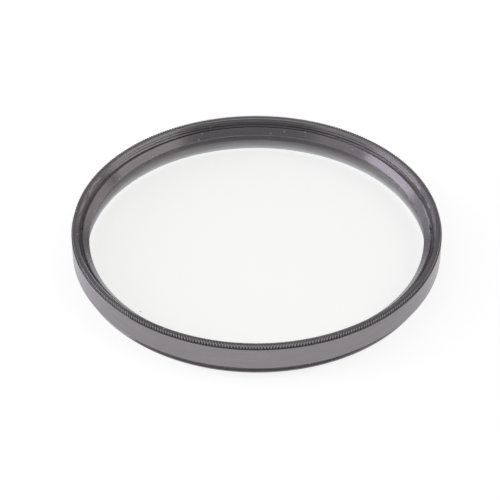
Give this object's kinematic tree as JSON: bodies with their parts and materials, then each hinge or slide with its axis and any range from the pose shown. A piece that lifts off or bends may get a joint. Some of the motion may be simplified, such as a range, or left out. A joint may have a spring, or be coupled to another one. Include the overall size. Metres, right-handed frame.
{
  "type": "screw-in lens filter",
  "caption": "Round clear camera filter: black anodised ring with a knurled front rim, filter threads front and rear, and a flat glass disc under a screwed-in retaining ring.",
  "frame": {"origin": "centre of the rear rim, on the plane that the filter lies on", "axes": "+Z along the optical axis, out of the filter's front; X and Y across the glass"},
  "size_m": [0.079, 0.079, 0.0084],
  "materials": {
    "anodised_ring": "black anodised, satin",
    "clear_glass": "clear, coated, polished",
    "anodised_retainer": "black anodised, fine turned"
  },
  "bodies": {
    "root": {"mount_ring": "anodised_ring", "filter_glass": "clear_glass", "retaining_ring": "anodised_retainer"}
  },
  "joints": []
}
